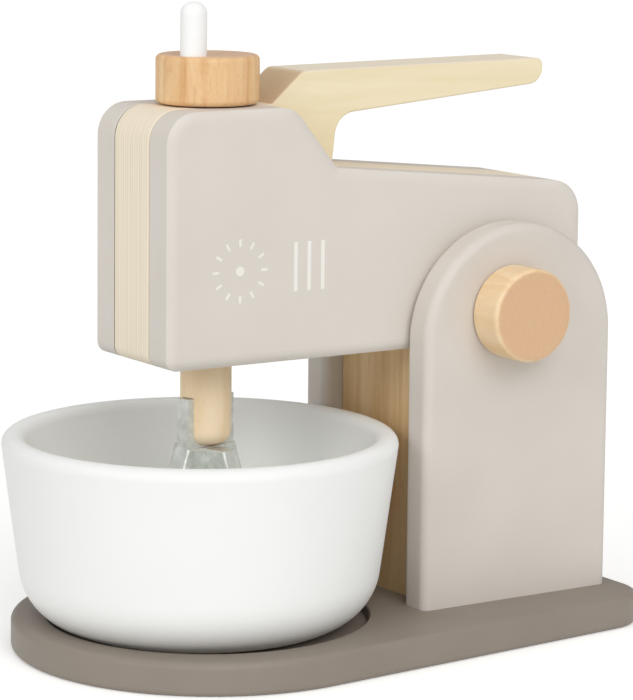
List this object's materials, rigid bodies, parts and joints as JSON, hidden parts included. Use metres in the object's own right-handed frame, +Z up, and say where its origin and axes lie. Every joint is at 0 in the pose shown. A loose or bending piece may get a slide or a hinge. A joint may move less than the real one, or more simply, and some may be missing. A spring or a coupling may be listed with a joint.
{
  "type": "toy stand mixer",
  "caption": "Wooden toy stand mixer: tilting head with carry handle, hand-turned crank and beater over a lift-out bowl, on a base board with a two-panel column.",
  "frame": {"origin": "on the floor, in the middle plane of the base board, near the middle of its length; it is the place of the mount base_underside", "axes": "+X from the bowl end to the column, +Y away from the side the picture shows, +Z up"},
  "size_m": [0.2037, 0.1278, 0.2046],
  "materials": {
    "taupe_paint": "matte lacquer on fibreboard",
    "greige_paint": "matte lacquer on fibreboard",
    "white_paint": "satin lacquer on turned wood",
    "birch_plywood": "clear matte lacquer",
    "pine": "clear matte lacquer",
    "beech": "clear satin lacquer",
    "silver_paint": "metallic silver paint over board",
    "steel": "zinc plated",
    "nylon": "natural"
  },
  "bodies": {
    "stand": {"base_plate": "taupe_paint", "side_panel_near": "greige_paint", "side_panel_far": "greige_paint", "column_block": "pine", "column_dowels": "beech", "base_screws": "steel", "pivot_washers": "nylon"},
    "head": {"head_core": "birch_plywood", "head_cheek_near": "greige_paint", "head_cheek_far": "greige_paint", "head_dowels": "beech"},
    "crank": {"crank_disc": "beech", "crank_peg": "white_paint", "drive_shaft": "beech", "beater_blade_long": "silver_paint", "beater_blade_cross": "silver_paint"},
    "axle": {"pivot_axle": "beech", "pivot_knob_near": "beech", "pivot_knob_far": "beech"},
    "bowl": {"bowl": "white_paint"}
  },
  "joints": [
    {"name": "head_tilt", "type": "hinge", "parent": "stand", "child": "head", "pos_m": [0.0535, 0, 0.105], "axis": [0, 1, 0], "range_deg": [0, 70]},
    {"name": "crank_turn", "type": "hinge", "parent": "head", "child": "crank", "pos_m": [-0.0386, 0, 0.13], "axis": [0, 0, 1], "continuous": true},
    {"name": "axle_turn", "type": "hinge", "parent": "stand", "child": "axle", "pos_m": [0.0535, 0, 0.105], "axis": [0, 1, 0], "continuous": true},
    {"name": "bowl_lift", "type": "slide", "parent": "stand", "child": "bowl", "axis": [0, 0, 1], "range_m": [0, 0.008]}
  ]
}
